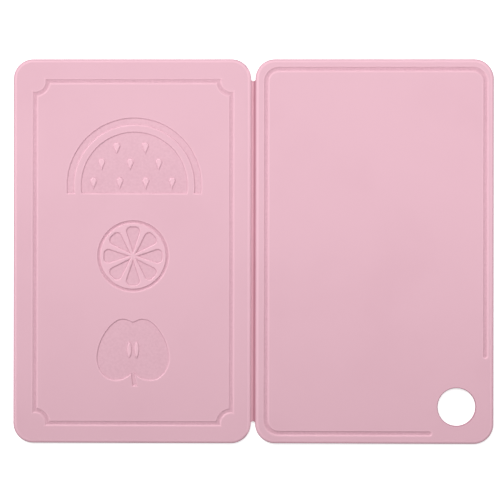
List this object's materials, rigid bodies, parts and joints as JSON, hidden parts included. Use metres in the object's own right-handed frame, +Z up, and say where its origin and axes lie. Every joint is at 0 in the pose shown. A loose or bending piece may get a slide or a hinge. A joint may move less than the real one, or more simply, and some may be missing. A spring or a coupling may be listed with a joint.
{
  "type": "folding cutting board",
  "caption": "Folding plastic cutting board: a panel with sunk fruit reliefs and a panel with a juice groove and hanging hole, joined by a flexible double-crease hinge.",
  "frame": {"origin": "under the middle of the hinge strip, on the surface that the open board lies on", "axes": "+X across the hinge from the leaf with the fruit panel to the leaf with the juice groove, +Y along the hinge away from the end with the hanging hole, +Z up out of the working faces"},
  "size_m": [0.3, 0.24, 0.0025],
  "materials": {
    "board": "pale pink polypropylene, fine matt moulded texture",
    "hinge": "the same pink polypropylene, thin and drawn, a shade deeper"
  },
  "bodies": {
    "grooved_leaf": {"grooved_leaf": "board", "grooved_crease": "hinge"},
    "hinge_bead": {"hinge_bead": "hinge"},
    "decorated_leaf": {"decorated_leaf": "board", "decorated_crease": "hinge"}
  },
  "joints": [
    {"name": "grooved_fold", "type": "hinge", "parent": "grooved_leaf", "child": "hinge_bead", "pos_m": [0.00135, 0, 0.00125], "axis": [0, 1, 0], "range_deg": [0, 90], "deforming": ["grooved_crease"]},
    {"name": "decorated_fold", "type": "hinge", "parent": "hinge_bead", "child": "decorated_leaf", "pos_m": [-0.00135, 0, 0.00125], "axis": [0, 1, 0], "range_deg": [0, 90], "deforming": ["decorated_crease"]}
  ]
}
